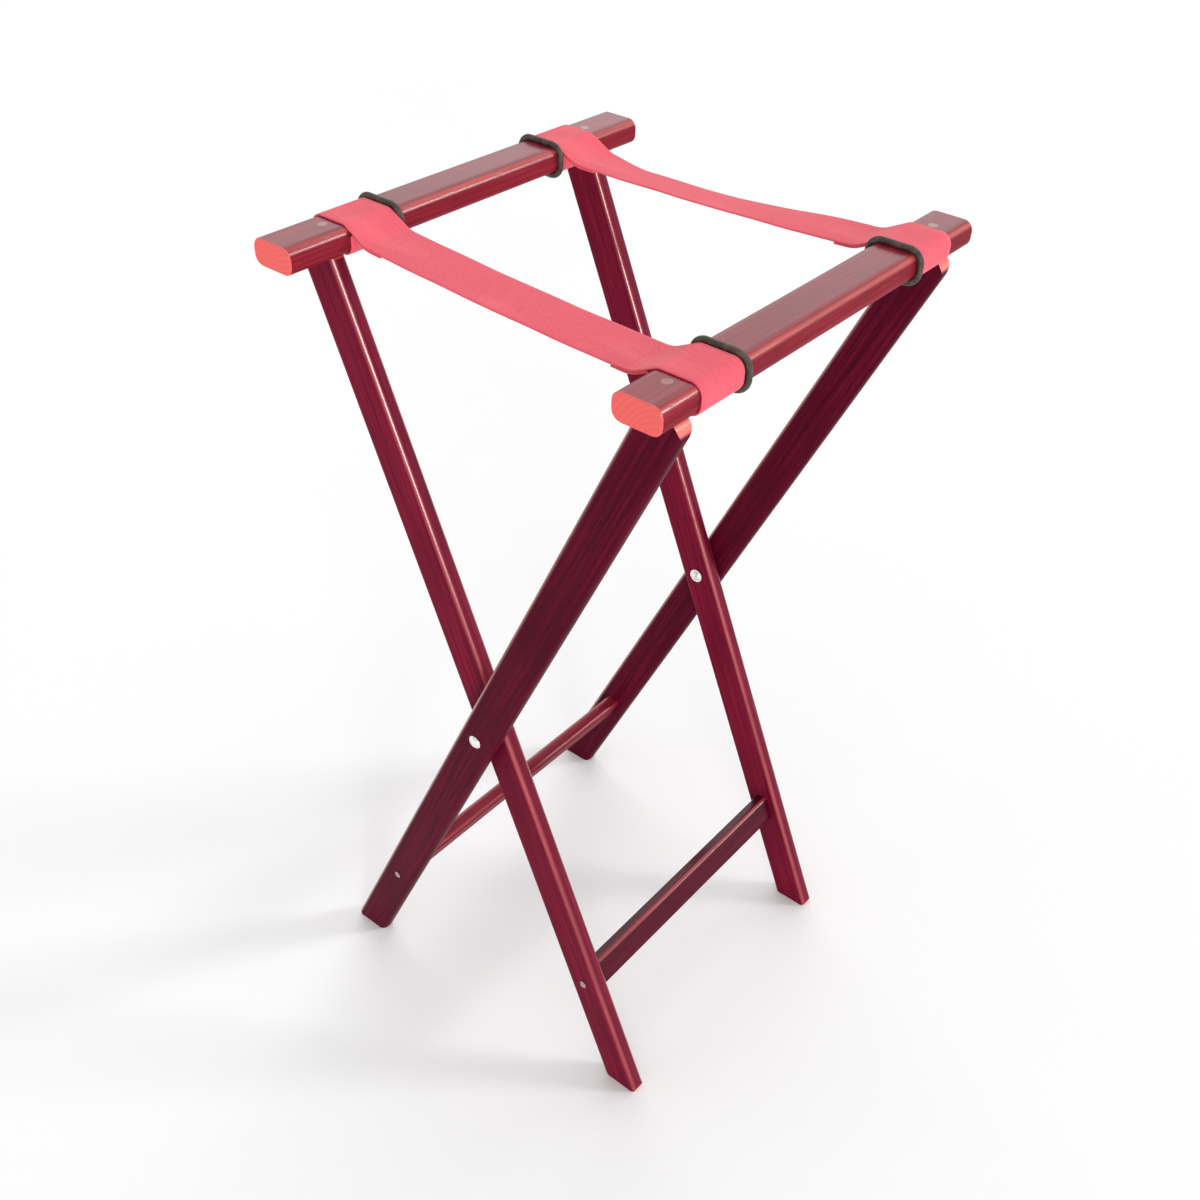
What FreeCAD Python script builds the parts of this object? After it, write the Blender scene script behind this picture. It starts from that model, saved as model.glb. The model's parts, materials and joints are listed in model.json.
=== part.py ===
import FreeCAD, Part
import math
import os

# A folding stand made of two wooden frames that cross like scissors, with two webbing straps
# from rail to rail. Millimetres, +Z up. The origin is on the floor, midway between the feet.
# X runs from the inner frame's rail to the outer frame's rail, and Y runs along the rails.
# The inner frame's legs pass between the outer frame's legs.

# Driving dimensions.
STAND_HEIGHT = 787.0
RAIL_LENGTH = 412.0
RAIL_WIDTH = 41.0
RAIL_THICKNESS = 22.0
RAIL_EDGE_RADIUS = 8.5
RAIL_END_EASING = 1.2
RAIL_CENTRE_X = 171.0
LEG_WIDTH = 37.0
LEG_THICKNESS = 16.0
LEG_EDGE_RADIUS = 6.35
LEG_CORNER_RADIUS = 4.0
LEG_SHOULDER_RADIUS = 12.0
LEG_TOP_X = 175.0
PIVOT_HEIGHT = 374.5
OUTER_FRAME_WIDTH = 366.0
LEG_GAP = 3.5
STRETCHER_WIDTH = 29.0
STRETCHER_THICKNESS = 15.5
STRETCHER_EDGE_RADIUS = 5.0
STRETCHER_BELOW_PIVOT = 285.0
STRAP_WIDTH = 48.0
STRAP_THICKNESS = 1.6
STRAP_JOIN_REACH = 16.5
STRAP_JOIN_DROP = 11.6
STRAP_MIDDLE_DROP = 13.6
STRAP_TO_LEG = 0.6
STRAP_MIDDLE_LENGTH = 12.0
RING_THICKNESS = 5.0
RIVET_SHANK_RADIUS = 3.0
RIVET_HEAD_RADIUS = 6.5
RIVET_HEAD_HEIGHT = 2.8
FORMED_HEAD_RADIUS = 5.4
FORMED_HEAD_HEIGHT = 2.4
WASHER_RADIUS = 7.0
WASHER_THICKNESS = 1.0
SPACER_RADIUS = 9.0
SCREW_RADIUS = 2.0
SCREW_HEAD_RADIUS = 3.6
SCREW_POINT = 6.0
SLOT_WIDTH = 1.0
SLOT_DEPTH = 1.0
RAIL_SCREW_LENGTH = 45.0
RAIL_SCREW_HEAD = 3.0
PLUG_RADIUS = 4.0
PLUG_DEPTH = 6.0
STRETCHER_SCREW_LENGTH = 44.0
STRETCHER_SCREW_HEAD = 2.2
STRETCHER_SCREW_STANDS_OUT = 0.6

# Clearances: around parts that turn, between faces that pass each other, and around fixed parts.
RUNNING_FIT = 0.06
PASSING_GAP = 0.3
FIXED_FIT = 0.03

# Worked out from the driving dimensions.
RAIL_UNDERSIDE = STAND_HEIGHT - RAIL_THICKNESS
LEG_TILT = math.atan2(LEG_TOP_X, RAIL_UNDERSIDE - PIVOT_HEIGHT)
OUTER_LEG_FACE = OUTER_FRAME_WIDTH / 2
INNER_LEG_FACE = OUTER_LEG_FACE - LEG_THICKNESS - LEG_GAP
STRAP_SURFACE_GAP = 2 * FIXED_FIT
RING_GAP = 2 * FIXED_FIT

# Which way each frame leans upwards along X, and the Y of its legs' outward faces.
OUTER = {"name": "outer", "lean": 1, "face": OUTER_LEG_FACE}
INNER = {"name": "inner", "lean": -1, "face": INNER_LEG_FACE}
ENDS = {"front": -1, "back": 1}


def vector(x, y, z):
    return FreeCAD.Vector(x, y, z)


def along_leg(frame, distance, across=0.0):
    """X and Z of a point up a leg's centre line from the pivot, and across it towards the leg's top side."""
    rise = distance * math.cos(LEG_TILT) - across * math.sin(LEG_TILT)
    reach = distance * math.sin(LEG_TILT) + across * math.cos(LEG_TILT)
    return frame["lean"] * reach, PIVOT_HEIGHT + rise


def rod(radius, start, direction, length):
    """A round bar from start along direction."""
    return Part.makeCylinder(radius, length, start, direction)


def rounded_wire(width, height, radius):
    """A rectangle in the XZ plane about the origin, with rounded corners."""
    x, z = width / 2, height / 2
    corners = [vector(x, 0, z), vector(-x, 0, z), vector(-x, 0, -z), vector(x, 0, -z)]
    return rounded_outline(corners, [radius] * len(corners))


def rounded_outline(corners, radii):
    """A closed outline of straight sides in the XZ plane, each corner turned into an arc."""
    count = len(corners)
    edges = []
    starts = []
    ends = []
    middles = []
    for i, (corner, radius) in enumerate(zip(corners, radii)):
        towards_last = (corners[i - 1] - corner).normalize()
        towards_next = (corners[(i + 1) % count] - corner).normalize()
        half_angle = towards_last.getAngle(towards_next) / 2
        setback = radius / math.tan(half_angle)
        inwards = (towards_last + towards_next).normalize()
        centre = corner + inwards * (radius / math.sin(half_angle))
        starts.append(corner + towards_last * setback)
        ends.append(corner + towards_next * setback)
        middles.append(centre - inwards * radius)
    for i in range(count):
        edges.append(Part.Arc(starts[i], middles[i], ends[i]).toShape())
        edges.append(Part.LineSegment(ends[i], starts[(i + 1) % count]).toShape())
    return Part.Wire(edges)


def prism(wire, start_y, length):
    """The solid made by carrying an XZ outline along Y."""
    placed = wire.translated(vector(0, start_y, 0))
    return Part.Face(placed).extrude(vector(0, length, 0))


def rail_wire(grow):
    """The rail's cross-section, grown outwards on every side, at the origin."""
    return rounded_wire(RAIL_WIDTH + 2 * grow, RAIL_THICKNESS + 2 * grow, RAIL_EDGE_RADIUS + grow)


def at_rail(frame, shape):
    """Moves a shape from the origin to the middle of the frame's rail."""
    return shape.translated(vector(frame["lean"] * RAIL_CENTRE_X, 0, STAND_HEIGHT - RAIL_THICKNESS / 2))


def leg_middle_y(frame, end):
    """Y of the middle of a leg's thickness."""
    return end * (frame["face"] - LEG_THICKNESS / 2)


def rail(frame):
    """A board with well rounded long edges, bored from above for the two leg screws and their plugs."""
    board = prism(rail_wire(0), -RAIL_LENGTH / 2, RAIL_LENGTH)
    end_edges = [e for e in board.Edges if abs(abs(e.BoundBox.Center.y) - RAIL_LENGTH / 2) < FIXED_FIT]
    board = at_rail(frame, board.makeChamfer(RAIL_END_EASING, end_edges))
    x = frame["lean"] * RAIL_CENTRE_X
    down = vector(0, 0, -1)
    for end in ENDS.values():
        top = vector(x, leg_middle_y(frame, end), STAND_HEIGHT)
        board = board.cut(rod(PLUG_RADIUS + FIXED_FIT, top, down, PLUG_DEPTH + RAIL_SCREW_HEAD))
        board = board.cut(rod(SCREW_RADIUS + FIXED_FIT, top, down, RAIL_THICKNESS))
    return board


def leg(frame, end):
    """A tilted board, cut level under the rail and at the floor, with rounded corners.

    The shoulder, where the top end stands out from under the rail, is rounded the most.
    """
    half_cut = LEG_WIDTH / 2 / math.cos(LEG_TILT)
    foot_x = -PIVOT_HEIGHT * math.tan(LEG_TILT)
    lean = frame["lean"]
    corners = [
        vector(lean * (foot_x - half_cut), 0, 0),
        vector(lean * (foot_x + half_cut), 0, 0),
        vector(lean * (LEG_TOP_X + half_cut), 0, RAIL_UNDERSIDE),
        vector(lean * (LEG_TOP_X - half_cut), 0, RAIL_UNDERSIDE),
    ]
    middle = leg_middle_y(frame, end)
    radii = [LEG_CORNER_RADIUS, LEG_CORNER_RADIUS, LEG_SHOULDER_RADIUS, LEG_CORNER_RADIUS]
    outline = prism(rounded_outline(corners, radii), middle - LEG_THICKNESS / 2, LEG_THICKNESS)
    bar = tilted_bar(frame, STAND_HEIGHT, LEG_WIDTH, LEG_THICKNESS, LEG_EDGE_RADIUS)
    board = outline.common(bar.translated(vector(0, middle, 0)))
    return bored_leg(frame, end, board)


def tilted_bar(frame, half_length, width, thickness, radius):
    """A bar with rounded edges along a leg's line, centred on the pivot, its width in the XZ plane."""
    section = rounded_wire(width, thickness, radius)
    upright = Part.Face(section.rotated(vector(0, 0, 0), vector(1, 0, 0), 90))
    bar = upright.extrude(vector(0, 0, 2 * half_length)).translated(vector(0, 0, -half_length))
    turned = bar.rotated(vector(0, 0, 0), vector(0, 1, 0), frame["lean"] * math.degrees(LEG_TILT))
    return turned.translated(vector(0, 0, PIVOT_HEIGHT))


def bored_leg(frame, end, board):
    """Bores a leg for the pivot rivet, the rail screw and the stretcher screw."""
    outside = end * frame["face"]
    inwards = vector(0, -end, 0)
    fit = FIXED_FIT if frame is OUTER else RUNNING_FIT
    pivot = vector(0, outside, PIVOT_HEIGHT)
    board = board.cut(rod(RIVET_SHANK_RADIUS + fit, pivot, inwards, LEG_THICKNESS))
    board = board.cut(rail_screw(frame, end, FIXED_FIT))
    return board.cut(stretcher_screw(frame, end, FIXED_FIT))


def rail_screw(frame, end, grow=0.0):
    """The screw under a rail's plug, down through the rail into the leg's end grain."""
    head_top = STAND_HEIGHT - PLUG_DEPTH
    start = vector(frame["lean"] * RAIL_CENTRE_X, leg_middle_y(frame, end), head_top)
    down = vector(0, 0, -1)
    head = rod(SCREW_HEAD_RADIUS + grow, start, down, RAIL_SCREW_HEAD)
    return pointed_screw(head, start, down, RAIL_SCREW_LENGTH, grow)


def stretcher_screw(frame, end, grow=0.0):
    """The screw through a leg into the end of the stretcher, its low domed head just proud of the leg."""
    x, z = along_leg(frame, -STRETCHER_BELOW_PIVOT)
    inwards = vector(0, -end, 0)
    start = vector(x, end * (frame["face"] + STRETCHER_SCREW_STANDS_OUT), z)
    head = Part.makeCone(SCREW_HEAD_RADIUS + grow, SCREW_RADIUS + grow, STRETCHER_SCREW_HEAD, start, inwards)
    return pointed_screw(head, start, inwards, STRETCHER_SCREW_LENGTH, grow)


def pointed_screw(head, start, direction, length, grow):
    """Adds a shank and a point to a screw's head. A real screw, not a bore for one, has a slot."""
    shank = rod(SCREW_RADIUS + grow, start, direction, length - SCREW_POINT)
    tip_start = start + direction * (length - SCREW_POINT)
    tip = Part.makeCone(SCREW_RADIUS + grow, SCREW_RADIUS / 4, SCREW_POINT, tip_start, direction)
    screw = head.fuse([shank, tip]).removeSplitter()
    return screw if grow else screw.cut(screw_slot(start, direction))


def screw_slot(start, direction):
    """The driver slot across a screw's head."""
    across = vector(1, 0, 0)
    sideways = across.cross(direction)
    corner = start - across * SCREW_HEAD_RADIUS - sideways * (SLOT_WIDTH / 2) - direction * SLOT_DEPTH
    outline = [
        corner,
        corner + across * (2 * SCREW_HEAD_RADIUS),
        corner + across * (2 * SCREW_HEAD_RADIUS) + sideways * SLOT_WIDTH,
        corner + sideways * SLOT_WIDTH,
        corner,
    ]
    return Part.Face(Part.makePolygon(outline)).extrude(direction * (2 * SLOT_DEPTH))


def rail_plug(frame, end):
    """The wooden plug over a rail screw, flush with the rail's top."""
    start = vector(frame["lean"] * RAIL_CENTRE_X, leg_middle_y(frame, end), STAND_HEIGHT)
    return rod(PLUG_RADIUS, start, vector(0, 0, -1), PLUG_DEPTH)


def stretcher(frame):
    """The flat bar between a frame's two legs near the floor, lying in the frame's plane."""
    length = 2 * (frame["face"] - LEG_THICKNESS)
    section = rounded_wire(STRETCHER_THICKNESS, STRETCHER_WIDTH, STRETCHER_EDGE_RADIUS)
    turn = frame["lean"] * math.degrees(LEG_TILT)
    tilted = section.rotated(vector(0, 0, 0), vector(0, 1, 0), turn)
    x, z = along_leg(frame, -STRETCHER_BELOW_PIVOT)
    bar = prism(tilted, -length / 2, length).translated(vector(x, 0, z))
    for end in ENDS.values():
        bar = bar.cut(stretcher_screw(frame, end, FIXED_FIT))
    return bar


def dome(radius, height, centre, direction):
    """A low spherical cap standing on centre, facing along direction."""
    ball_radius = (radius * radius + height * height) / (2 * height)
    ball = Part.makeSphere(ball_radius, centre + direction * (height - ball_radius))
    return ball.common(rod(radius, centre, direction, height))


def formed_head_y():
    """Distance from the stand's middle to the face that the rivet's formed head bears on."""
    return INNER_LEG_FACE - LEG_THICKNESS - PASSING_GAP - WASHER_THICKNESS


def pivot_rivet(end):
    """The rivet that both frames turn on, with a domed head outside and a formed head inside."""
    outwards = vector(0, end, 0)
    outside = vector(0, end * OUTER_LEG_FACE, PIVOT_HEIGHT)
    inside = vector(0, end * formed_head_y(), PIVOT_HEIGHT)
    shank = rod(RIVET_SHANK_RADIUS, inside, outwards, OUTER_LEG_FACE - formed_head_y())
    outer_head = dome(RIVET_HEAD_RADIUS, RIVET_HEAD_HEIGHT, outside, outwards)
    inner_head = dome(FORMED_HEAD_RADIUS, FORMED_HEAD_HEIGHT, inside, -outwards)
    return shank.fuse([outer_head, inner_head]).removeSplitter()


def disc_with_hole(end, radius, from_y, thickness):
    """A flat ring round a pivot rivet, from a distance along Y outwards."""
    start = vector(0, end * from_y, PIVOT_HEIGHT)
    outwards = vector(0, end, 0)
    hole = rod(RIVET_SHANK_RADIUS + FIXED_FIT, start, outwards, thickness)
    return rod(radius, start, outwards, thickness).cut(hole)


def pivot_spacer(end):
    """The spacer that keeps the two frames' legs apart."""
    start = INNER_LEG_FACE + PASSING_GAP
    return disc_with_hole(end, SPACER_RADIUS, start, LEG_GAP - PASSING_GAP)


def rivet_washer(end):
    """The washer under a rivet's formed head, on the inner leg's side."""
    return disc_with_hole(end, WASHER_RADIUS, formed_head_y(), WASHER_THICKNESS)


def strap_near_y(frame):
    """Distance from the stand's middle to a strap's outboard edge, close against the leg."""
    return frame["face"] - LEG_THICKNESS - STRAP_TO_LEG


def strap_loop(frame, end):
    """The part of a strap that goes round the rail, beside the leg."""
    low = min(end * strap_near_y(frame), end * (strap_near_y(frame) - STRAP_WIDTH))
    outside = prism(rail_wire(STRAP_SURFACE_GAP + STRAP_THICKNESS), low, STRAP_WIDTH)
    inside = prism(rail_wire(STRAP_SURFACE_GAP), low, STRAP_WIDTH)
    return at_rail(frame, outside.cut(inside))


def strap_span(end):
    """The part of a strap between the rails, askew because the frames differ in width.

    It comes down from each rail to where the strap's two layers are sewn together, and sags a little between.
    """
    rail_top = STAND_HEIGHT + STRAP_SURFACE_GAP + STRAP_THICKNESS
    rail_side = RAIL_CENTRE_X - RAIL_WIDTH / 2
    end_x = rail_side - STRAP_SURFACE_GAP - STRAP_THICKNESS - PASSING_GAP
    join = vector(rail_side - STRAP_JOIN_REACH, 0, rail_top - STRAP_JOIN_DROP)
    edge_centre = vector(rail_side + RAIL_EDGE_RADIUS, 0, STAND_HEIGHT - RAIL_EDGE_RADIUS)
    towards_edge = edge_centre - join
    loop_radius = RAIL_EDGE_RADIUS + STRAP_SURFACE_GAP + STRAP_THICKNESS
    rise = math.atan2(towards_edge.z, towards_edge.x) + math.asin(loop_radius / towards_edge.Length)
    end_z = join.z + (end_x - join.x) * math.tan(rise)
    top = [vector(x, 0, z) for x, z in ((-end_x, end_z), (-join.x, join.z), (join.x, join.z), (end_x, end_z))]
    middle = vector(0, 0, rail_top - STRAP_MIDDLE_DROP)
    down = vector(0, 0, -STRAP_THICKNESS)
    bottom = [point + down for point in top]
    edges = [
        Part.LineSegment(top[0], top[1]),
        Part.Arc(top[1], middle, top[2]),
        Part.LineSegment(top[2], top[3]),
        Part.LineSegment(top[3], bottom[3]),
        Part.LineSegment(bottom[3], bottom[2]),
        Part.Arc(bottom[2], middle + down, bottom[1]),
        Part.LineSegment(bottom[1], bottom[0]),
        Part.LineSegment(bottom[0], top[0]),
    ]
    profile = Part.Wire([edge.toShape() for edge in edges])
    return prism(profile, -RAIL_LENGTH / 2, RAIL_LENGTH).common(askew_band(end))


def strap_part(frame, end, nearest, furthest):
    """The part of a frame's half of a strap's span between two distances from the stand's middle."""
    low = min(frame["lean"] * nearest, frame["lean"] * furthest)
    corner = vector(low, -RAIL_LENGTH / 2, 0)
    return strap_span(end).common(Part.makeBox(furthest - nearest, RAIL_LENGTH, 2 * STAND_HEIGHT, corner))


def strap_half_span(frame, end):
    """A strap from a rail nearly to the stand's middle."""
    return strap_part(frame, end, STRAP_MIDDLE_LENGTH + PASSING_GAP, RAIL_CENTRE_X)


def strap_half_middle(frame, end):
    """The short part of a strap at the stand's middle, which sinks as the stand closes."""
    return strap_part(frame, end, PASSING_GAP / 2, STRAP_MIDDLE_LENGTH)


def askew_band(end):
    """A strap's outline seen from above, as a tall solid from rail to rail."""
    outer_y, inner_y = strap_near_y(OUTER), strap_near_y(INNER)
    x = RAIL_CENTRE_X - RAIL_WIDTH / 2
    corners = [
        vector(-x, end * inner_y, 0),
        vector(x, end * outer_y, 0),
        vector(x, end * (outer_y - STRAP_WIDTH), 0),
        vector(-x, end * (inner_y - STRAP_WIDTH), 0),
    ]
    outline = Part.makePolygon(corners + corners[:1])
    return Part.Face(outline).extrude(vector(0, 0, 2 * STAND_HEIGHT))


def rubber_ring(frame, end):
    """A rubber ring stretched round the rail, just inboard of a strap."""
    grow = RING_GAP + RING_THICKNESS / 2
    path = rail_wire(grow)
    start = vector(0, 0, RAIL_THICKNESS / 2 + grow)
    section = Part.Wire(Part.makeCircle(RING_THICKNESS / 2, start, vector(1, 0, 0)))
    ring = path.makePipeShell([section], True, True)
    y = end * (strap_near_y(frame) - STRAP_WIDTH - STRAP_TO_LEG - RING_THICKNESS / 2)
    return at_rail(frame, ring.translated(vector(0, y, 0)))


def save(name, shape):
    shape.exportStep("parts/" + name + ".step")


def save_pair(name, make, frame):
    """Two identical fasteners of one frame, as separate solids in one file."""
    save(name, Part.makeCompound([make(frame, end) for end in ENDS.values()]))


def save_frame(frame):
    """A frame's wooden parts, its fasteners, its rubber rings and its halves of the straps."""
    name = frame["name"]
    save(name + "_rail", rail(frame))
    save(name + "_stretcher", stretcher(frame))
    save_pair(name + "_rail_screws", rail_screw, frame)
    save_pair(name + "_rail_plugs", rail_plug, frame)
    save_pair(name + "_stretcher_screws", stretcher_screw, frame)
    for end_name, end in ENDS.items():
        save(name + "_leg_" + end_name, leg(frame, end))
        save(name + "_ring_" + end_name, rubber_ring(frame, end))
        save(end_name + "_strap_" + name + "_loop", strap_loop(frame, end))
        save(end_name + "_strap_" + name + "_span", strap_half_span(frame, end))
        save(end_name + "_strap_" + name + "_middle", strap_half_middle(frame, end))


os.makedirs("parts", exist_ok=True)
save_frame(OUTER)
save_frame(INNER)
for end_name, end in ENDS.items():
    save("pivot_rivet_" + end_name, pivot_rivet(end))
    save("pivot_spacer_" + end_name, pivot_spacer(end))
    save("rivet_washer_" + end_name, rivet_washer(end))
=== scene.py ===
import json
import math
import bpy
from mathutils import Matrix, Vector


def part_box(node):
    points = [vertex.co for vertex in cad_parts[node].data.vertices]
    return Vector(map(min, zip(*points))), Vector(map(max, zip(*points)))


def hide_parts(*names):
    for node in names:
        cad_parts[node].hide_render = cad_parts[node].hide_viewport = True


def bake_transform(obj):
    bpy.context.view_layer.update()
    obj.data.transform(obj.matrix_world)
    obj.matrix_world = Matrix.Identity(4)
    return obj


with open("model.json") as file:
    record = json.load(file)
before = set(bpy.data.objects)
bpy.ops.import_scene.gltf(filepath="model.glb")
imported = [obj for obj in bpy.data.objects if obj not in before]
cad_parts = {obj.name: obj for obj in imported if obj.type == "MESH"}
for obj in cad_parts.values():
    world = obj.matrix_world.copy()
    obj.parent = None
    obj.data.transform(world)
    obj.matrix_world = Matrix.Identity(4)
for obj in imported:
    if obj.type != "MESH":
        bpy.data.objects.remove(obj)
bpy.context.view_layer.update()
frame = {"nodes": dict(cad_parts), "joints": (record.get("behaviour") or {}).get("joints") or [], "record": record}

# The two wooden frames cross like scissors: which way each leans upwards along X.
LEANS = {"outer": 1, "inner": -1}
ENDS = {"front": -1, "back": 1}

# Sizes that the CAD boxes don't give, in metres.
RAIL_EDGE_RADIUS = 0.0085
WEBBING_THICKNESS = 0.0016
WEBBING_OFF_RAIL = 0.00006
RAIL_LOW, RAIL_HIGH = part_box("outer_rail")
PIVOT_HEIGHT = frame["joints"][0]["pos_m"][2]


# Shader nodes

class Graph:
    """A material's node tree, with short ways to add nodes and join them."""

    def __init__(self, name):
        self.material = bpy.data.materials.new(name)
        self.material.use_nodes = True
        self.tree = self.material.node_tree
        self.shader = self.tree.nodes["Principled BSDF"]

    def add(self, kind, **settings):
        node = self.tree.nodes.new("ShaderNode" + kind)
        for setting, value in settings.items():
            setattr(node, setting, value)
        return node

    def put(self, socket, value):
        """Sets an input socket, or joins it to another node's output."""
        if isinstance(value, bpy.types.NodeSocket):
            self.tree.links.new(value, socket)
        else:
            socket.default_value = value

    def set_shader(self, **values):
        for socket, value in values.items():
            self.put(self.shader.inputs[socket.replace("_", " ")], value)

    def maths(self, operation, *values, clamp=False):
        node = self.add("Math", operation=operation, use_clamp=clamp)
        for socket, value in zip(node.inputs, values):
            self.put(socket, value)
        return node.outputs[0]

    def split(self, vector):
        node = self.add("SeparateXYZ")
        self.put(node.inputs[0], vector)
        return node.outputs

    def join(self, x, y, z):
        node = self.add("CombineXYZ")
        for socket, value in zip(node.inputs, (x, y, z)):
            self.put(socket, value)
        return node.outputs[0]

    def mapped(self, vector, kind="POINT", location=(0, 0, 0), rotation=(0, 0, 0), scale=(1, 1, 1)):
        node = self.add("Mapping", vector_type=kind)
        self.put(node.inputs["Vector"], vector)
        if kind == "POINT":
            node.inputs["Location"].default_value = location
        node.inputs["Rotation"].default_value = rotation
        node.inputs["Scale"].default_value = scale
        return node.outputs[0]

    def noise(self, vector, scale, detail=2.0, roughness=0.5):
        node = self.add("TexNoise")
        self.put(node.inputs["Vector"], vector)
        node.inputs["Scale"].default_value = scale
        node.inputs["Detail"].default_value = detail
        node.inputs["Roughness"].default_value = roughness
        return node.outputs["Fac"]

    def fade(self, value, low, high, start=0.0, end=1.0):
        """A smooth change from start to end as value goes from low to high."""
        node = self.add("MapRange", interpolation_type="SMOOTHSTEP")
        for socket, number in zip(node.inputs, (value, low, high, start, end)):
            self.put(socket, number)
        return node.outputs[0]

    def mix(self, share, first, second):
        """A blend of two colours."""
        node = self.add("Mix", data_type="RGBA")
        sockets = {socket.identifier: socket for socket in node.inputs}
        self.put(sockets["Factor_Float"], share)
        self.put(sockets["A_Color"], first)
        self.put(sockets["B_Color"], second)
        return next(socket for socket in node.outputs if socket.identifier == "Result_Color")

    def bump(self, height, distance, strength=1.0):
        node = self.add("Bump")
        self.put(node.inputs["Height"], height)
        node.inputs["Distance"].default_value = distance
        node.inputs["Strength"].default_value = strength
        return node.outputs[0]


def colour(red, green, blue):
    """An opaque colour."""
    return (red, green, blue, 1.0)


# Wood

SOLES = {mount["name"]: mount["pos_m"] for mount in frame["record"]["mounts"]}
LEG_TILT = math.atan2(SOLES["inner_front_sole"][0], PIVOT_HEIGHT)
RING_SPACING = 0.0045
RING_WANDER = 0.02
NEAREST_PITH = 0.03
PITH_STEP = 0.007
GOLDEN_ANGLE = math.radians(137.5)

# How fine each part of the wood's figure is, as a noise scale per metre.
WANDER_SCALE = 22
FIBRE_SCALE = 420
PORE_SCALE = 1300
BLOTCH_SCALE = 16
SPECKLE_SCALE = 1500

# How much longer than wide each part of the figure is, as its scale along the grain.
ALONG_WANDER = (1, 1, 0.12)
ALONG_FIBRE = (1, 1, 0.02)
ALONG_PORE = (1, 1, 0.05)
ALONG_BLOTCH = (1, 1, 0.5)

# How large a direction's largest part is on a rounded edge's start and on its full roundness.
FLAT_FACING = 0.995
ROUND_FACING = 0.76

# Depths of the figure's relief in the wood and in the lacquer over it.
WOOD_RELIEF = 0.00010
LACQUER_RELIEF = 0.00005

WOOD_SPECULAR = 0.03
LACQUER_ROUGHNESS = 0.2
LACQUER_IOR = 1.6


def board_axes(graph, node, tilt, grain):
    """A point's place from the board's middle, and its surface's direction, with Z along the grain."""
    low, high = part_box(node)
    middle = Matrix.Rotation(tilt, 3, "Y") @ ((low + high) / 2)
    source = graph.add("TexCoord")
    place = graph.mapped(source.outputs["Object"], location=-middle, rotation=(0, tilt, 0))
    facing = graph.mapped(source.outputs["Normal"], kind="VECTOR", rotation=(0, tilt, 0))
    if grain == "Y":
        x, y, z = graph.split(place)
        place = graph.join(x, z, y)
        x, y, z = graph.split(facing)
        facing = graph.join(x, z, y)
    return place, facing


def growth_rings(graph, place, number):
    """Bands round a pith outside the board, wandering a little, from 0 to 1. number sets the pith apart."""
    away = NEAREST_PITH + PITH_STEP * (number % 4)
    pith = Vector((math.cos(number * GOLDEN_ANGLE), math.sin(number * GOLDEN_ANGLE), 0)) * away
    stretched = graph.mapped(place, location=(0, 0, number), scale=ALONG_WANDER)
    wander = graph.noise(stretched, WANDER_SCALE, 2)
    x, y = graph.split(graph.mapped(place, location=pith))[:2]
    squares = graph.maths("ADD", graph.maths("MULTIPLY", x, x), graph.maths("MULTIPLY", y, y))
    distance = graph.maths("SQRT", squares)
    wandered = graph.maths("ADD", distance, graph.maths("MULTIPLY", wander, RING_WANDER))
    wave = graph.maths("SINE", graph.maths("MULTIPLY", wandered, math.tau / RING_SPACING))
    return graph.fade(wave, -1, 1)


def rounded_edge(graph, facing):
    """1 on a board's rounded edges, 0 on its flat faces."""
    largest = 0.0
    for part in graph.split(facing):
        largest = graph.maths("MAXIMUM", largest, graph.maths("ABSOLUTE", part))
    return graph.fade(largest, FLAT_FACING, ROUND_FACING)


def sawn_end(graph, own, rings, tones):
    """Paler end grain, with faint rings and the dark ends of pores."""
    speckles = graph.fade(graph.noise(own, SPECKLE_SCALE, 2), 0.55, 0.68)
    ring_colour = colour(*tones["end_ring"])
    ringed = graph.mix(graph.maths("MULTIPLY", rings, 0.18), colour(*tones["end"]), ring_colour)
    return graph.mix(graph.maths("MULTIPLY", speckles, 0.25), ringed, ring_colour)


def long_faces(graph, rings, fibres, pores, blotches, upper_edges, tones):
    """The stained long faces: streaks, clouds of darker stain, paler upper edges that are partly wear and partly a
    painted highlight, and dark pores.
    """
    figure = graph.maths("ADD", graph.maths("MULTIPLY", rings, 0.08), graph.maths("MULTIPLY", fibres, 0.92))
    stained = graph.mix(graph.fade(figure, 0.30, 0.72), colour(*tones["dark"]), colour(*tones["light"]))
    clouded = graph.mix(graph.fade(blotches, 0.40, 0.70, 0, 0.6), stained, colour(*tones["dark"]))
    # Upward-looking rounded edges are painted paler: partly wear, partly a painted highlight.
    wear_and_highlight = graph.maths("MULTIPLY", upper_edges, graph.fade(blotches, 0.30, 0.70, 0.25, 0.55))
    edged = graph.mix(wear_and_highlight, clouded, colour(*tones["wear_and_highlight"]))
    return graph.mix(graph.maths("MULTIPLY", pores, 0.5), edged, colour(*tones["pore"]))


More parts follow.
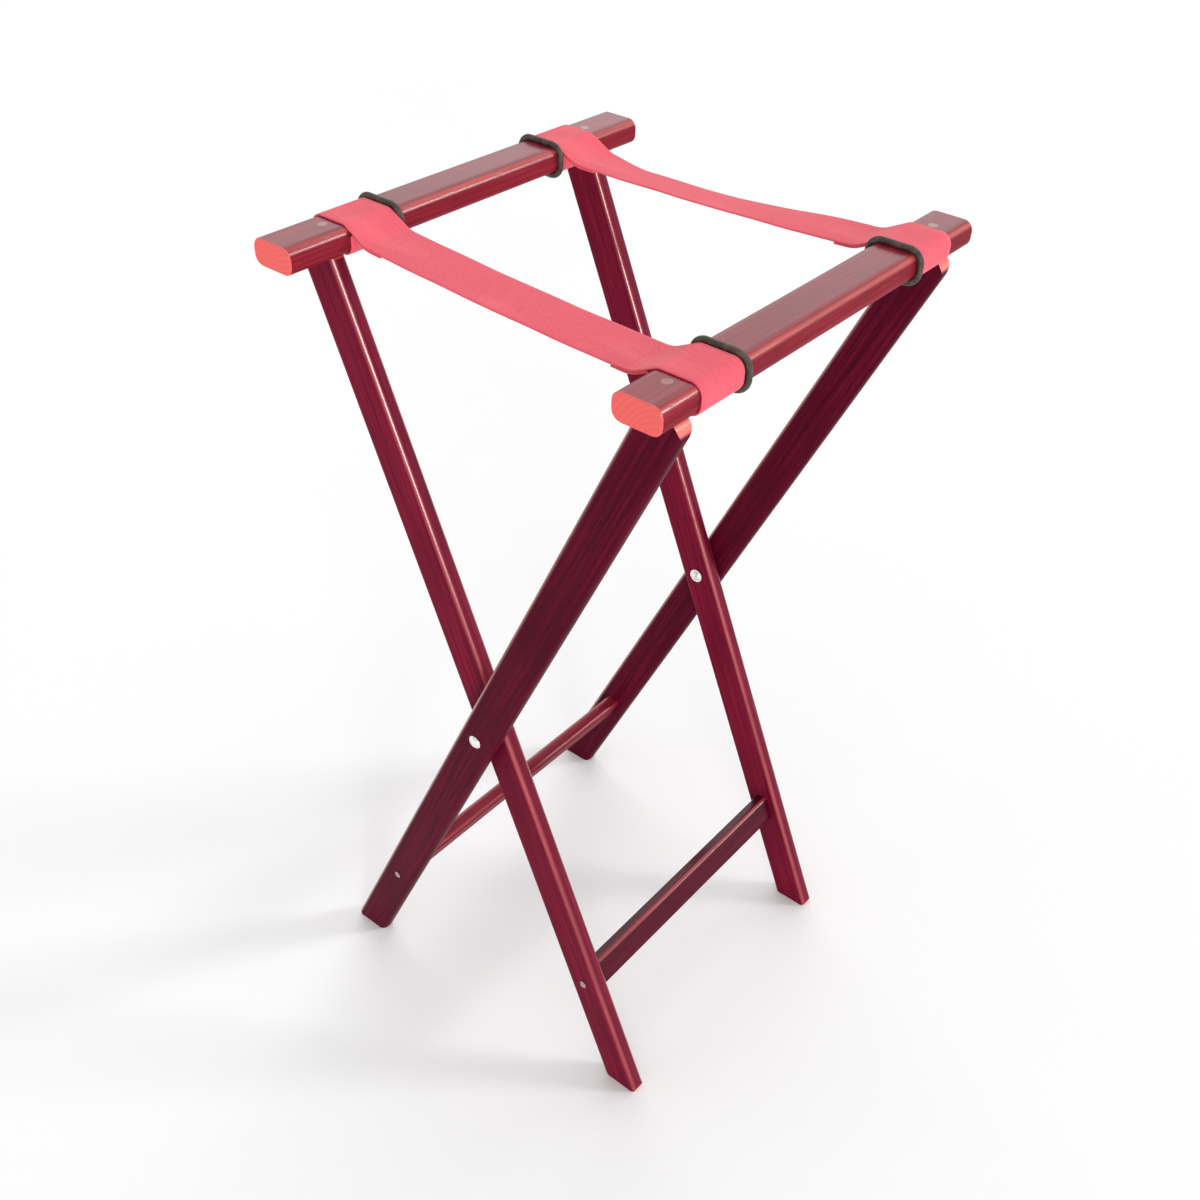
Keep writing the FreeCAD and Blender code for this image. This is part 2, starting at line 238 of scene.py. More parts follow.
def wood(node, number, tilt, grain, tones, coat, upper):
    """Stained and lacquered board, with its own piece of figure for each number.

    The lacquer has settled thickest on the faces and rounded edges that look up, and those edges are painted
    paler, partly as wear and partly as a painted highlight. upper is how far up an edge starts to look, and how
    far it looks when it counts in full.
    """
    graph = Graph("wood_" + node)
    place, facing = board_axes(graph, node, tilt, grain)
    own = graph.mapped(place, location=(number, 0, number))
    rings = growth_rings(graph, place, number)
    fibres = graph.noise(graph.mapped(own, scale=ALONG_FIBRE), FIBRE_SCALE, 4, 0.65)
    pores = graph.fade(graph.noise(graph.mapped(own, scale=ALONG_PORE), PORE_SCALE, 1), 0.62, 0.74)
    blotches = graph.noise(graph.mapped(own, scale=ALONG_BLOTCH), BLOTCH_SCALE, 3)
    height_facing = graph.split(graph.add("TexCoord").outputs["Normal"])[2]
    upward = graph.fade(height_facing, 0.1, 0.8)
    upper_edges = graph.maths("MULTIPLY", rounded_edge(graph, facing), graph.fade(height_facing, *upper))
    end_facing = graph.fade(graph.maths("ABSOLUTE", graph.split(facing)[2]), 0.45, 0.75)
    faces = long_faces(graph, rings, fibres, pores, blotches, upper_edges, tones)
    relief = graph.maths("SUBTRACT", graph.maths("MULTIPLY", fibres, 0.6), pores)
    lacquer = graph.maths("MAXIMUM", graph.maths("MULTIPLY", upward, 0.5), upper_edges)
    graph.set_shader(
        Base_Color=graph.mix(end_facing, faces, sawn_end(graph, own, rings, tones)),
        Roughness=graph.fade(fibres, 0.3, 0.7, 0.34, 0.46),
        Normal=graph.bump(relief, WOOD_RELIEF, 0.5),
        Specular_IOR_Level=WOOD_SPECULAR,
        Coat_Weight=graph.maths("MULTIPLY", lacquer, coat),
        Coat_Normal=graph.bump(relief, LACQUER_RELIEF, 0.6),
        Coat_Roughness=LACQUER_ROUGHNESS,
        Coat_IOR=LACQUER_IOR,
    )
    return graph.material


# How each kind of board is coloured. The inner and outer legs share one stain, as do the two stretchers: the inner
# legs' and the outer stretcher's paler tones are painted light, and the outer legs' and the inner stretcher's
# darker tones are painted shade.
RAIL_TONES = {
    "dark": (0.17, 0.010, 0.020),
    "light": (0.29, 0.020, 0.032),
    # Paler upper edges: partly wear, partly a painted highlight.
    "wear_and_highlight": (0.75, 0.13, 0.11),
    "pore": (0.07, 0.006, 0.009),
    "end": (0.80, 0.135, 0.125),
    "end_ring": (0.58, 0.070, 0.065),
}
# The legs' stain, painted darker on the outer legs as painted shade.
OUTER_LEG_TONES = {
    "dark": (0.058, 0.0018, 0.011),
    "light": (0.125, 0.0048, 0.021),
    # Paler upper edges: partly wear, partly a painted highlight.
    "wear_and_highlight": (0.62, 0.075, 0.08),
    "pore": (0.030, 0.0012, 0.005),
    "end": (0.90, 0.19, 0.15),
    "end_ring": (0.70, 0.11, 0.09),
}
# The same stain, painted paler on the inner legs as painted light.
INNER_LEG_TONES = OUTER_LEG_TONES | {
    "dark": (0.110, 0.0034, 0.018),
    "light": (0.225, 0.0085, 0.033),
    "pore": (0.055, 0.0020, 0.008),
}
# The stretchers' stain, painted paler on the outer stretcher as painted light.
OUTER_STRETCHER_TONES = OUTER_LEG_TONES | {
    "dark": (0.130, 0.0060, 0.018),
    "light": (0.240, 0.0140, 0.032),
}
# The same stain, painted darker on the inner stretcher as painted shade.
INNER_STRETCHER_TONES = OUTER_LEG_TONES | {
    "dark": (0.060, 0.0022, 0.011),
    "light": (0.115, 0.0050, 0.018),
}

# How far up a rounded edge starts to be lacquered and painted paler, partly as wear and partly as a painted
# highlight, and how far it looks when it counts in full.
RAIL_UPPER = (0.30, 0.75)
STRETCHER_UPPER = (0.10, 0.60)
LEG_UPPER = (-0.05, 0.30)


def set_finish(node, material):
    """Puts a material in every slot of a CAD node."""
    piece = frame["nodes"][node]
    if not piece.data.materials:
        piece.data.materials.append(None)
    for slot in piece.material_slots:
        slot.link = "OBJECT"
        slot.material = material


def finish_boards():
    """Gives each board its own wood, with the grain along its length."""
    leg_tones = {"outer": OUTER_LEG_TONES, "inner": INNER_LEG_TONES}
    stretcher_tones = {"outer": OUTER_STRETCHER_TONES, "inner": INNER_STRETCHER_TONES}
    for number, (name, lean) in enumerate(LEANS.items()):
        tilt = -lean * LEG_TILT
        rail = name + "_rail"
        set_finish(rail, wood(rail, 1 + number, 0, "Y", RAIL_TONES, 1.0, RAIL_UPPER))
        stretcher = name + "_stretcher"
        tones = stretcher_tones[name]
        set_finish(stretcher, wood(stretcher, 3 + number, tilt, "Y", tones, 0.8, STRETCHER_UPPER))
        for end_number, end_name in enumerate(ENDS):
            leg = name + "_leg_" + end_name
            leg_number = 5 + 2 * number + end_number
            set_finish(leg, wood(leg, leg_number, tilt, "Z", leg_tones[name], 1.0, LEG_UPPER))


PLUG_SPECKLE_SCALE = 1900
PLUG_LIGHT = colour(0.32, 0.08, 0.07)
PLUG_DARK = colour(0.20, 0.04, 0.04)


def plug_wood():
    """The end grain of the small plugs over the rail screws."""
    graph = Graph("plug_wood")
    place = graph.add("TexCoord").outputs["Object"]
    speckles = graph.fade(graph.noise(place, PLUG_SPECKLE_SCALE, 2), 0.45, 0.65)
    graph.set_shader(
        Base_Color=graph.mix(speckles, PLUG_LIGHT, PLUG_DARK),
        Normal=graph.bump(speckles, WOOD_RELIEF),
        Roughness=0.4,
        Coat_Weight=0.5,
    )
    return graph.material


# Metal, rubber and plastic

RIVET_TINT = (0.90, 0.89, 0.87)
RIVET_ROUGHNESS = 0.2
SCREW_TINT = (0.52, 0.47, 0.45)
SCREW_ROUGHNESS = 0.4
TARNISH_SHADE = 0.55
SCRATCH_SCALE = 2400
SCRATCH_DEPTH = 0.00003
TARNISH_SCALE = 350

RUBBER_DARK = colour(0.028, 0.018, 0.013)
RUBBER_BLOOM = colour(0.095, 0.066, 0.047)
BLOOM_SCALE = 160
GRIT_SCALE = 2200
GRIT_DEPTH = 0.0001

NYLON_DARK = colour(0.62, 0.58, 0.52)
NYLON_LIGHT = colour(0.74, 0.71, 0.66)
NYLON_CLOUD_SCALE = 300


def metal(name, tint, roughness):
    """Plated steel with fine scratches and a little tarnish."""
    graph = Graph(name)
    place = graph.add("TexCoord").outputs["Object"]
    scratches = graph.noise(graph.mapped(place, scale=(1, 1, 0.1)), SCRATCH_SCALE, 2)
    tarnish = graph.noise(place, TARNISH_SCALE, 3)
    dulled = colour(*(TARNISH_SHADE * part for part in tint))
    graph.set_shader(
        Base_Color=graph.mix(graph.fade(tarnish, 0.5, 0.8, 0, 0.4), colour(*tint), dulled),
        Metallic=1.0,
        Roughness=graph.fade(tarnish, 0.3, 0.8, roughness, roughness + 0.2),
        Normal=graph.bump(scratches, SCRATCH_DEPTH, 0.5),
    )
    return graph.material


def rubber():
    """Dull dark rubber with a faint bloom."""
    graph = Graph("rubber")
    place = graph.add("TexCoord").outputs["Object"]
    bloom = graph.noise(place, BLOOM_SCALE, 4, 0.6)
    grit = graph.noise(place, GRIT_SCALE, 2)
    graph.set_shader(
        Base_Color=graph.mix(graph.fade(bloom, 0.35, 0.7), RUBBER_DARK, RUBBER_BLOOM),
        Roughness=graph.fade(bloom, 0.3, 0.7, 0.5, 0.7),
        Normal=graph.bump(grit, GRIT_DEPTH),
    )
    return graph.material


def nylon():
    """Milky plastic of the spacers between the legs."""
    graph = Graph("nylon")
    place = graph.add("TexCoord").outputs["Object"]
    clouds = graph.noise(place, NYLON_CLOUD_SCALE, 2)
    graph.set_shader(
        Base_Color=graph.mix(clouds, NYLON_DARK, NYLON_LIGHT),
        Roughness=graph.fade(clouds, 0.3, 0.7, 0.35, 0.5),
        Subsurface_Weight=0.1,
    )
    return graph.material


def finish_hardware():
    """Gives the rivets, washers, spacers, screws, plugs and rings their materials."""
    rivet_steel = metal("rivet_steel", RIVET_TINT, RIVET_ROUGHNESS)
    screw_steel = metal("screw_steel", SCREW_TINT, SCREW_ROUGHNESS)
    ring_rubber = rubber()
    spacer_nylon = nylon()
    end_grain = plug_wood()
    for end_name in ENDS:
        set_finish("pivot_rivet_" + end_name, rivet_steel)
        set_finish("rivet_washer_" + end_name, rivet_steel)
        set_finish("pivot_spacer_" + end_name, spacer_nylon)
    for name in LEANS:
        set_finish(name + "_rail_screws", screw_steel)
        set_finish(name + "_stretcher_screws", screw_steel)
        set_finish(name + "_rail_plugs", end_grain)
        for end_name in ENDS:
            set_finish(name + "_ring_" + end_name, ring_rubber)


# Webbing

YARN_WIDTH = 0.0012
FLOAT_LENGTH = 0.0028
WEAVE_DEPTH = 0.0003
STREAK_SCALE = 420
FADING_SCALE = 36
# The gaps between the yarns are painted darker, as painted shade in the weave's hollows.
WEB_SHADE_BETWEEN_YARNS = colour(0.60, 0.055, 0.085)
WEB_YARN = colour(0.92, 0.130, 0.175)
WEB_STREAK = colour(0.62, 0.07, 0.11)
WEB_FADED = colour(0.92, 0.20, 0.22)
WEB_SHEEN = colour(1.0, 0.62, 0.66)

PLIES = 3
PLY_DEPTH = 0.00005
# The grooves between the plies are painted darker, as painted shade.
THREAD_GROOVE_SHADE = colour(0.55, 0.06, 0.09)
THREAD_LIGHT = colour(0.85, 0.15, 0.19)


def webbing():
    """Plain woven webbing. The mesh's UVs are metres along and across it."""
    graph = Graph("webbing")
    along, across = graph.split(graph.add("TexCoord").outputs["UV"])[:2]
    yarn = graph.maths("DIVIDE", across, YARN_WIDTH)
    column = graph.maths("FLOOR", yarn)
    staggered = graph.maths("MULTIPLY", column, 0.5)
    beat = graph.maths("ADD", graph.maths("DIVIDE", along, FLOAT_LENGTH), staggered)
    crown = graph.maths("ABSOLUTE", graph.maths("SINE", graph.maths("MULTIPLY", yarn, math.pi)))
    rise = graph.maths("ABSOLUTE", graph.maths("SINE", graph.maths("MULTIPLY", beat, math.pi)))
    weave = graph.maths("MULTIPLY", graph.maths("POWER", crown, 0.6), graph.fade(rise, 0.0, 0.8, 0.35, 1.0))
    cloth = graph.join(graph.maths("MULTIPLY", along, 0.25), across, 0.0)
    streaks = graph.noise(cloth, STREAK_SCALE, 3)
    fading = graph.noise(cloth, FADING_SCALE, 3)
    # The weave's hollows get the darker colour as painted shade.
    yarns = graph.mix(weave, WEB_SHADE_BETWEEN_YARNS, WEB_YARN)
    streaked = graph.mix(graph.fade(streaks, 0.35, 0.75, 0, 0.35), yarns, WEB_STREAK)
    faded = graph.mix(graph.fade(fading, 0.45, 0.75, 0, 0.3), streaked, WEB_FADED)
    graph.set_shader(
        Base_Color=faded,
        Roughness=graph.fade(weave, 0, 1, 0.85, 0.65),
        Normal=graph.bump(weave, WEAVE_DEPTH, 0.7),
        Specular_IOR_Level=0.25,
        Sheen_Weight=0.2,
        Sheen_Roughness=0.4,
        Sheen_Tint=WEB_SHEEN,
    )
    return graph.material


def thread():
    """Sewing thread, its plies wound along each stitch."""
    graph = Graph("thread")
    along, around = graph.split(graph.add("TexCoord").outputs["UV"])[:2]
    wound = graph.maths("MULTIPLY", graph.maths("ADD", along, around), PLIES * math.tau)
    plies = graph.maths("SINE", wound)
    graph.set_shader(
        # The grooves between the plies get the darker colour as painted shade.
        Base_Color=graph.mix(graph.fade(plies, -1, 1), THREAD_GROOVE_SHADE, THREAD_LIGHT),
        Roughness=0.6,
        Normal=graph.bump(plies, PLY_DEPTH),
        Sheen_Weight=0.2,
    )
    return graph.material


# The webbing's course round a rail, seen along Y: X away from the stand's middle, and Z. The strap runs down
# from the rail to a join, where its sewn tail begins, and from there nearly level to the stand's middle.

HALF_THICKNESS = WEBBING_THICKNESS / 2
COURSE_RADIUS = RAIL_EDGE_RADIUS + WEBBING_OFF_RAIL + HALF_THICKNESS
INNER_EDGE_X = RAIL_LOW.x + RAIL_EDGE_RADIUS
OUTER_EDGE_X = RAIL_HIGH.x - RAIL_EDGE_RADIUS
UPPER_EDGE_Z = RAIL_HIGH.z - RAIL_EDGE_RADIUS
LOWER_EDGE_Z = RAIL_LOW.z + RAIL_EDGE_RADIUS
MIDDLE_LOW, MIDDLE_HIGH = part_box("front_strap_outer_middle")
SAG_Z = (MIDDLE_LOW.z + MIDDLE_HIGH.z) / 2
JOIN_REACH = 0.0165
JOIN_RISE = 0.0020
TAIL_LENGTH = 0.017
LAYER_GAP = 0.0001
JOIN_X = RAIL_LOW.x - JOIN_REACH
JOIN_Z = SAG_Z + JOIN_RISE
SAG_RADIUS = (JOIN_X**2 + (JOIN_Z - SAG_Z) ** 2) / (2 * (JOIN_Z - SAG_Z))
TAIL_END_X = JOIN_X - TAIL_LENGTH
TAIL_BELOW = WEBBING_THICKNESS + LAYER_GAP
BEND_REACH = 0.0060
TURN_RADIUS = 0.0020
SQUARING_REACH = 0.012

# How finely the course is drawn.
ARC_STEP = 0.0012
FEWEST_ARC_STEPS = 6
BEND_STEPS = 6
TAIL_STEPS = 6
SHORT_RUN_STEPS = 3
UPPER_RUN_STEPS = 8
SPAN_STEPS = 60
SECTION_COLUMNS = 16


def on_sag(x, below=0.0):
    """The point at X of the free span, or of a layer below it, and the direction outwards."""
    radius = SAG_RADIUS + below
    angle = math.asin(x / radius)
    point = Vector((x, SAG_Z + SAG_RADIUS - radius * math.cos(angle)))
    return point, Vector((math.cos(angle), math.sin(angle)))


def run_slope():
    """The slope of the straight run from the bend to the course round the rail's upper edge."""
    towards = Vector((INNER_EDGE_X, UPPER_EDGE_Z)) - on_sag(JOIN_X)[0]
    return math.atan2(towards.y, towards.x) + math.asin(COURSE_RADIUS / towards.length)


def arc(centre_x, centre_z, start, end, radius=COURSE_RADIUS):
    """Points on an arc of the webbing's course."""
    count = max(FEWEST_ARC_STEPS, round(abs(end - start) * radius / ARC_STEP))
    points = []
    for i in range(count + 1):
        angle = start + (end - start) * i / count
        points.append(Vector((
            centre_x + radius * math.cos(angle),
            centre_z + radius * math.sin(angle),
        )))
    return points


def eased_run(start, start_direction, end, end_direction, count):
    """Points on a smooth curve with a given direction at each end, which are left out."""
    reach = (end - start).length
    points = []
    for i in range(1, count):
        t = i / count
        points.append(
            start * (2 * t**3 - 3 * t**2 + 1)
            + start_direction * reach * (t**3 - 2 * t**2 + t)
            + end * (3 * t**2 - 2 * t**3)
            + end_direction * reach * (t**3 - t**2)
        )
    return points


def bend(slope, below):
    """Points on the bend from the free span, or a layer below it, into the straight run up to the rail."""
    start, along_sag = on_sag(JOIN_X - BEND_REACH, below)
    along_run = Vector((math.cos(slope), math.sin(slope)))
    downwards = Vector((math.sin(slope), -math.cos(slope)))
    end = on_sag(JOIN_X)[0] + along_run * BEND_REACH + downwards * below
    return [start] + eased_run(start, along_sag, end, along_run, BEND_STEPS) + [end]


def straight(start, end, count):
    """Points between two others, which are left out."""
    return [start.lerp(end, i / count) for i in range(1, count)]


def strap_course():
    """The mid-thickness line from the sewn tail, under and round the rail, to the stand's middle.

    The tail is sewn to the span's underside nearly as far as the rail, and there turns down the rail's side.
    """
    quarter = math.pi / 2
    slope = run_slope()
    tail_end = on_sag(TAIL_END_X, TAIL_BELOW)[0]
    lower_bend = bend(slope, TAIL_BELOW)
    rail_side_x = INNER_EDGE_X - COURSE_RADIUS
    turn_x = rail_side_x - TURN_RADIUS * (1 + math.sin(slope))
    turn_start = lower_bend[-1] + Vector((1, math.tan(slope))) * (turn_x - lower_bend[-1].x)
    turn_centre = turn_start + TURN_RADIUS * Vector((math.sin(slope), -math.cos(slope)))
    turn = arc(*turn_centre, quarter + slope, 0, TURN_RADIUS)
    under_edge = arc(INNER_EDGE_X, LOWER_EDGE_Z, -2 * quarter, -quarter)
    lower = [tail_end] + straight(tail_end, lower_bend[0], TAIL_STEPS) + lower_bend
    lower += straight(lower_bend[-1], turn_start, SHORT_RUN_STEPS) + turn
    lower += straight(turn[-1], under_edge[0], SHORT_RUN_STEPS) + under_edge
    outer_edges = arc(OUTER_EDGE_X, LOWER_EDGE_Z, -quarter, 0) + arc(OUTER_EDGE_X, UPPER_EDGE_Z, 0, quarter)
    over_edge = arc(INNER_EDGE_X, UPPER_EDGE_Z, quarter, quarter + slope)
    upper_bend = bend(slope, 0.0)[::-1]
    upper = over_edge + straight(over_edge[-1], upper_bend[0], UPPER_RUN_STEPS) + upper_bend
    span = [on_sag((JOIN_X - BEND_REACH) * (1 - i / SPAN_STEPS))[0] for i in range(1, SPAN_STEPS + 1)]
    return lower + outer_edges + upper + span


def strap_edges(name, end_name):
    """Y of a strap's middle line at its rail and at the stand's middle, and half its width."""
    ends = {}
    for side in LEANS:
        low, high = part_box(end_name + "_strap_" + side + "_loop")
        ends[side] = (low.y + high.y) / 2
        half_width = (high.y - low.y) / 2
    return ends[name], (ends["outer"] + ends["inner"]) / 2, half_width


def askew(x, at_rail, at_middle):
    """Y of the strap's middle line at X: straight from the stand's middle, then eased square to the rail."""
    share = x / RAIL_LOW.x
    start = RAIL_LOW.x - SQUARING_REACH
    if x >= RAIL_LOW.x + SQUARING_REACH:
        share = 1.0
    elif x > start:
        share -= (x - start) ** 2 / (4 * SQUARING_REACH * RAIL_LOW.x)
    return at_middle + (at_rail - at_middle) * share


def webbing_section(half_width):
    """Places round the webbing's cross-section: across it, and through it. Its long edges are rounded."""
    flat = half_width - HALF_THICKNESS
    section = []
    for side in (1, -1):
        for i in range(SECTION_COLUMNS + 1):
            section.append((side * (2 * i / SECTION_COLUMNS - 1) * flat, -side * HALF_THICKNESS))
        for angle in (45, 90, 135):
            turn = math.radians(angle)
            across = flat + HALF_THICKNESS * math.sin(turn)
            section.append((side * across, -side * HALF_THICKNESS * math.cos(turn)))
    return section


LOOP_LOW, LOOP_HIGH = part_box("back_strap_outer_loop")
STRAP_WIDTH = LOOP_HIGH.y - LOOP_LOW.y

# The ripple's slope across the webbing, its waves in radians per metre, and where each edge starts in them.
RIPPLE = 0.012
RIPPLE_WAVE = 75
RIPPLE_STARTS = {"back": 0.8, "front": 2.1}

# The droop of the back strap's outer edge, and where along X it starts and is full, from each rail.
BACK_DROOP = 0.0075
DROOP_FROM_INNER_RAIL = (-0.150, -0.090)
DROOP_FROM_OUTER_RAIL = (0.120, -0.020)


def ease(value, low, high):
    """A smooth step from 0 at low to 1 at high."""
    t = min(max((value - low) / (high - low), 0.0), 1.0)
    return t * t * (3 - 2 * t)


def sway(x, across, end_name):
    """How far the webbing lies above or below its course at X, which here is the stand's own X.

    Its edges ripple a little, and the back strap's outer edge droops between its joins.
    """
    share = min(abs(x) / JOIN_X, 1.0)
    window = math.cos(math.pi / 2 * share) * math.sin(math.pi * share)
    start = RIPPLE_STARTS["back" if across > 0 else "front"]
    ripple = RIPPLE * window * across * math.sin(RIPPLE_WAVE * x + start)
    if end_name == "front":
        return ripple
    droop = BACK_DROOP * (0.5 + across / STRAP_WIDTH)
    return ripple - droop * ease(x, *DROOP_FROM_INNER_RAIL) * ease(x, *DROOP_FROM_OUTER_RAIL)


def sweep_strap(name, end_name):
    """Vertices, faces and UVs of half a strap."""
    course = strap_course()
    at_rail, at_middle, half_width = strap_edges(name, end_name)
    section = webbing_section(half_width)
    lean = LEANS[name]
    vertices = []
    uvs = []
    length = 0.0
    for i, point in enumerate(course):
        before = course[max(i - 1, 0)]
        after = course[min(i + 1, len(course) - 1)]
        direction = (after - before).normalized()
        if i == len(course) - 1:
            direction = Vector((-1.0, 0.0))
        inwards = Vector((-direction.y, direction.x))
        if i:
            length += (point - before).length
        for across, through in section:
            place = point + inwards * through
            rise = sway(lean * point.x, across, end_name)
            vertices.append((lean * place.x, askew(point.x, at_rail, at_middle) + across, place.y + rise))
            uvs.append((length, across))
    return vertices, tube_faces(len(course), len(section), lean < 0), uvs, length


def tube_faces(rows, columns, flipped):
    """Quads between rows of points, and a cap at each end, all facing outwards."""
    faces = [list(range(columns))]
    for row in range(rows - 1):
        for i in range(columns):
            here, beside = row * columns + i, row * columns + (i + 1) % columns
            faces.append([here, here + columns, beside + columns, beside])
    faces.append([(rows - 1) * columns + i for i in reversed(range(columns))])
    return [face[::-1] for face in faces] if flipped else faces


def make_piece(name, vertices, faces, uvs, material):
    """A smooth-shaded mesh object with one UV per vertex."""
    mesh = bpy.data.meshes.new(name)
    mesh.from_pydata(vertices, [], faces)
    layer = mesh.uv_layers.new(name="UVMap")
    for corner in mesh.loops:
        layer.data[corner.index].uv = uvs[corner.vertex_index]
    mesh.shade_smooth()
    mesh.set_sharp_from_angle(angle=math.radians(60))
    mesh.materials.append(material)
    piece = bpy.data.objects.new(name, mesh)
    bpy.context.scene.collection.objects.link(piece)
    return piece


# Stitching

STITCH_LENGTH = 0.0030
STITCH_PITCH = 0.0036
STITCH_RADIUS = 0.00028
STITCH_RINGS = 7
STITCH_SIDES = 8
# A little over 1, so that a stitch's end rings don't close to a point.
STITCH_FULLNESS = 1.05
SEWN_FROM_TAIL_END = 0.003
SEWN_FROM_BEND = 0.0005
SEWN_FROM_X = TAIL_END_X + SEWN_FROM_TAIL_END
SEWN_TO_X = JOIN_X - BEND_REACH - SEWN_FROM_BEND
SEWN_MARGIN = 0.005


def sewn_box(half_width):
    """The stitches of a sewn rectangle: each one's X, distance across, and whether it runs across."""
    half = half_width - SEWN_MARGIN
    stitches = []
    across_count = round(2 * half / STITCH_PITCH)
    for x in (SEWN_FROM_X, SEWN_TO_X):
        for i in range(across_count):
            stitches.append((x, half * ((2 * i + 1) / across_count - 1), True))
    along_count = round((SEWN_TO_X - SEWN_FROM_X) / STITCH_PITCH)
    for across in (-half, half):
        for i in range(along_count):
            x = SEWN_FROM_X + (SEWN_TO_X - SEWN_FROM_X) * (i + 0.5) / along_count
            stitches.append((x, across, False))
    return stitches


def stitch_rings(middle, along, side, up):
    """Rings of points of one stitch, a short thread that dips into the cloth at each end."""
    rings = []
    for step in range(STITCH_RINGS):
        t = 2 * step / (STITCH_RINGS - 1) - 1
        centre = middle + along * (t * STITCH_LENGTH / 2) - up * (t * t * STITCH_RADIUS)
        radius = STITCH_RADIUS * math.sqrt(STITCH_FULLNESS - t * t)
        for i in range(STITCH_SIDES):
            turn = math.tau * i / STITCH_SIDES
            rings.append(centre + (side * math.cos(turn) + up * math.sin(turn)) * radius)
    return rings


def make_stitching(name, end_name, material):
    """The stitches that hold a strap's tail, on the span's top and on the tail's underside."""
    at_rail, at_middle, half_width = strap_edges(name, end_name)
    lean = LEANS[name]
    stitch_faces = tube_faces(STITCH_RINGS, STITCH_SIDES, False)
    stitch_uvs = [
        (step / (STITCH_RINGS - 1), i / STITCH_SIDES)
        for step in range(STITCH_RINGS)
        for i in range(STITCH_SIDES)
    ]
    vertices = []
    faces = []
    uvs = []
    for below, outwards in ((-HALF_THICKNESS, 1), (TAIL_BELOW + HALF_THICKNESS, -1)):
        for x, across, runs_across in sewn_box(half_width):
            point, direction = on_sag(x, below)
            rise = sway(lean * x, across, end_name)
            middle = Vector((lean * x, askew(x, at_rail, at_middle) + across, point.y + rise))
            span = Vector((lean * direction.x, 0, direction.y))
            width = Vector((0, 1, 0))
            up = Vector((-lean * direction.y, 0, direction.x)) * outwards
            along = width if runs_across else span
            side = up.cross(along)
            first = len(vertices)
            vertices += stitch_rings(middle, along, side, up)
            faces += [[first + i for i in face] for face in stitch_faces]
            uvs += stitch_uvs
    return make_piece(end_name + "_strap_" + name + "_stitching", vertices, faces, uvs, material)


def make_straps():
    """Half of each strap on each frame. The halves meet midway between the frames."""
    cloth = webbing()
    sewing = thread()
    for end_name in ENDS:
        for name, lean in LEANS.items():
            base = end_name + "_strap_" + name
            vertices, faces, uvs, length = sweep_strap(name, end_name)
            strap = make_piece(base, vertices, faces, uvs, cloth)
            stitching = make_stitching(name, end_name, sewing)
            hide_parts(base + "_loop", base + "_span", base + "_middle")
            for piece in (strap, stitching):
                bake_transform(piece)


# Floor, light and camera

FLOOR_HALF_WIDTH = 60.0
FLOOR_CLOUD_SCALE = 1.5
FLOOR_SHADES = colour(0.90, 0.90, 0.90), colour(0.93, 0.93, 0.93)


def backdrop_material():
    """Pale paper with the faintest clouding."""
    graph = Graph("backdrop")
    place = graph.add("TexCoord").outputs["Object"]
    clouds = graph.noise(place, FLOOR_CLOUD_SCALE, 2)
    graph.set_shader(Base_Color=graph.mix(clouds, *FLOOR_SHADES), Roughness=0.9, Specular_IOR_Level=0.1)
    return graph.material


def make_floor():
    """A wide pale floor."""
    half = FLOOR_HALF_WIDTH
    corners = [(-half, -half, 0), (half, -half, 0), (half, half, 0), (-half, half, 0)]
    uvs = [corner[:2] for corner in corners]
    floor = make_piece("floor", corners, [[0, 1, 2, 3]], uvs, backdrop_material())


# The soft lights: azimuth, elevation and spread in degrees, and strength.
SOFT_LIGHTS = {
    "back_light": (217, 42, 62, 1.1),
    "right_light": (134, 26, 14, 1.1),
    "front_light": (48, 9, 16, 1.3),
}

# The pale walls' strength at the horizon and overhead, and how high they have faded to it.
WALLS_LOW = 1.0
WALLS_HIGH = 0.62
WALLS_FADE_HEIGHT = 0.5


def direction_from(azimuth, elevation):
    """The direction from the stand towards a viewer. Azimuth 0 looks along +Y."""
    turn, rise = math.radians(azimuth), math.radians(elevation)
    return Vector((math.sin(turn) * math.cos(rise), -math.cos(turn) * math.cos(rise), math.sin(rise)))


def soft_light(name, azimuth, elevation, spread, strength):
    """An even light from a wide patch of the studio, so far off that the floor has no edge in it."""
    lamp = bpy.data.lights.new(name, "SUN")
    lamp.angle = math.radians(spread)
    lamp.energy = strength
    light = bpy.data.objects.new(name, lamp)
    light.rotation_euler = direction_from(azimuth, elevation).to_track_quat("Z", "Y").to_euler()
    bpy.context.scene.collection.objects.link(light)


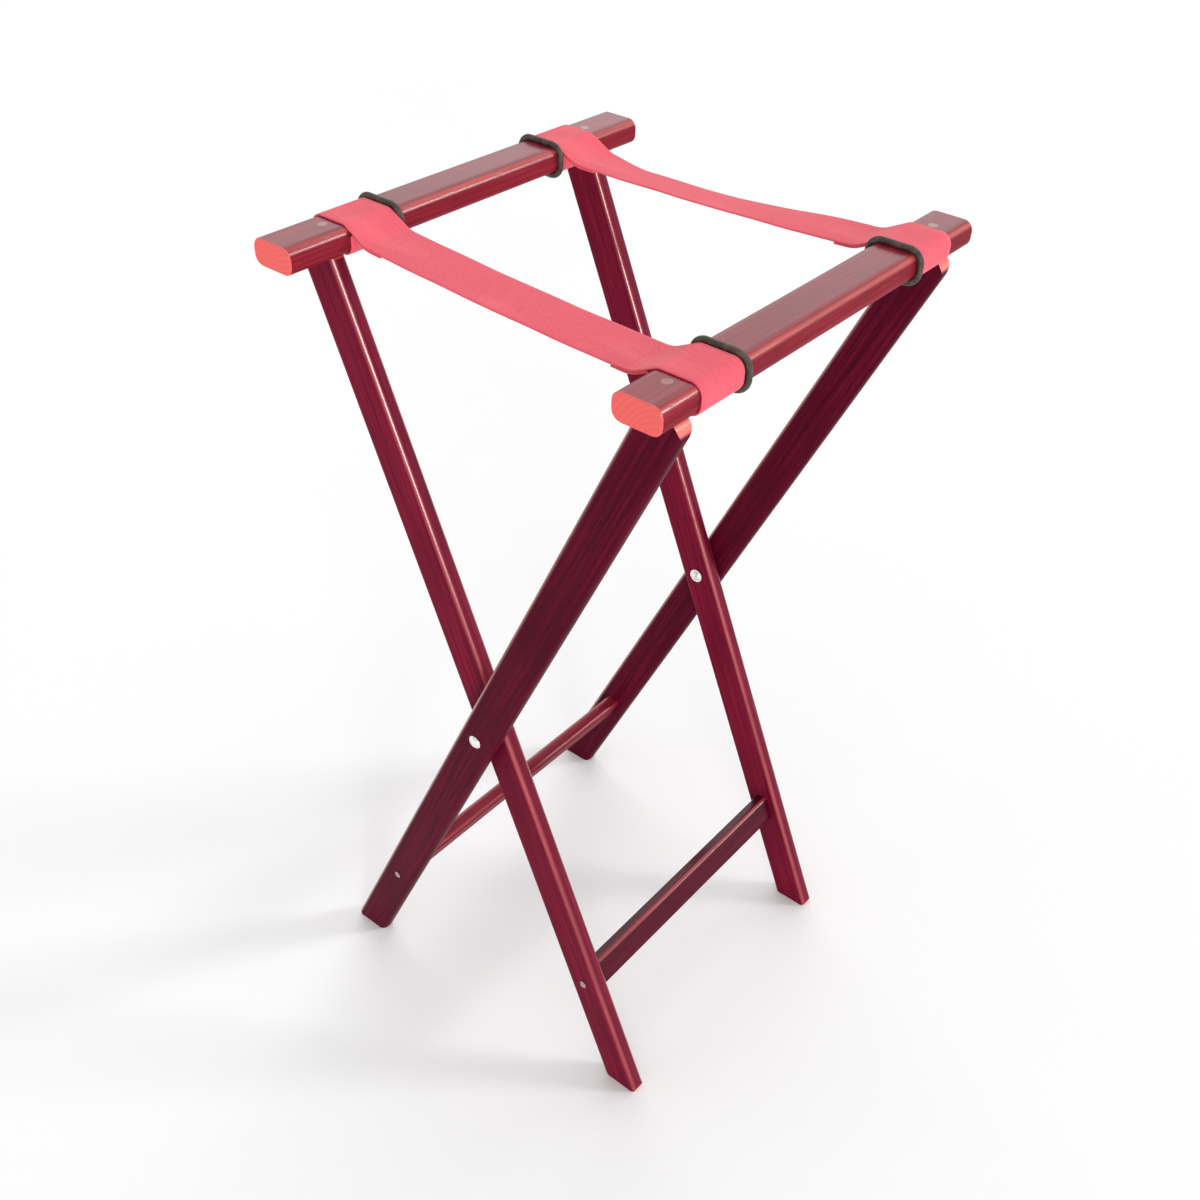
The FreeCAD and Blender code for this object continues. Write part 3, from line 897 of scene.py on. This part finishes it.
def light_studio():
    """The soft lights, and pale walls all round that dim a little overhead."""
    for name, settings in SOFT_LIGHTS.items():
        soft_light(name, *settings)
    world = bpy.data.worlds.new("studio")
    world.use_nodes = True
    tree = world.node_tree
    height = tree.nodes.new("ShaderNodeSeparateXYZ")
    tree.links.new(tree.nodes.new("ShaderNodeTexCoord").outputs["Generated"], height.inputs[0])
    fade = tree.nodes.new("ShaderNodeMapRange")
    tree.links.new(height.outputs["Z"], fade.inputs["Value"])
    fade.inputs["From Max"].default_value = WALLS_FADE_HEIGHT
    fade.inputs["To Min"].default_value = WALLS_LOW
    fade.inputs["To Max"].default_value = WALLS_HIGH
    tree.links.new(fade.outputs[0], tree.nodes["Background"].inputs["Strength"])
    tree.nodes["Background"].inputs["Color"].default_value = colour(1, 1, 1)
    bpy.context.scene.world = world


CAMERA_AZIMUTH = 37.24
CAMERA_ELEVATION = 38.30
CAMERA_ROLL = math.radians(2.78)
CAMERA_TARGET = Vector((0, 0, 0.400))
CAMERA_DISTANCE = 1.281
LENS = 40.6
SENSOR_WIDTH = 36
SHIFT = (-0.0060, 0.0187)


def make_camera():
    """The camera looks down on the stand from its front right corner, rolled a little."""
    back = direction_from(CAMERA_AZIMUTH, CAMERA_ELEVATION)
    turn = math.radians(CAMERA_AZIMUTH)
    level = Vector((math.cos(turn), math.sin(turn), 0))
    upright = back.cross(level)
    right = level * math.cos(CAMERA_ROLL) + upright * math.sin(CAMERA_ROLL)
    up = back.cross(right)
    data = bpy.data.cameras.new("camera")
    data.lens = LENS
    data.sensor_width = SENSOR_WIDTH
    data.shift_x, data.shift_y = SHIFT
    camera = bpy.data.objects.new("camera", data)
    turned = Matrix((right, up, back)).transposed()
    camera.matrix_world = Matrix.Translation(CAMERA_TARGET + back * CAMERA_DISTANCE) @ turned.to_4x4()
    bpy.context.scene.collection.objects.link(camera)
    bpy.context.scene.camera = camera


make_camera()
make_floor()
light_studio()
finish_boards()
finish_hardware()
make_straps()
bpy.context.scene.view_settings.view_transform = "Standard"
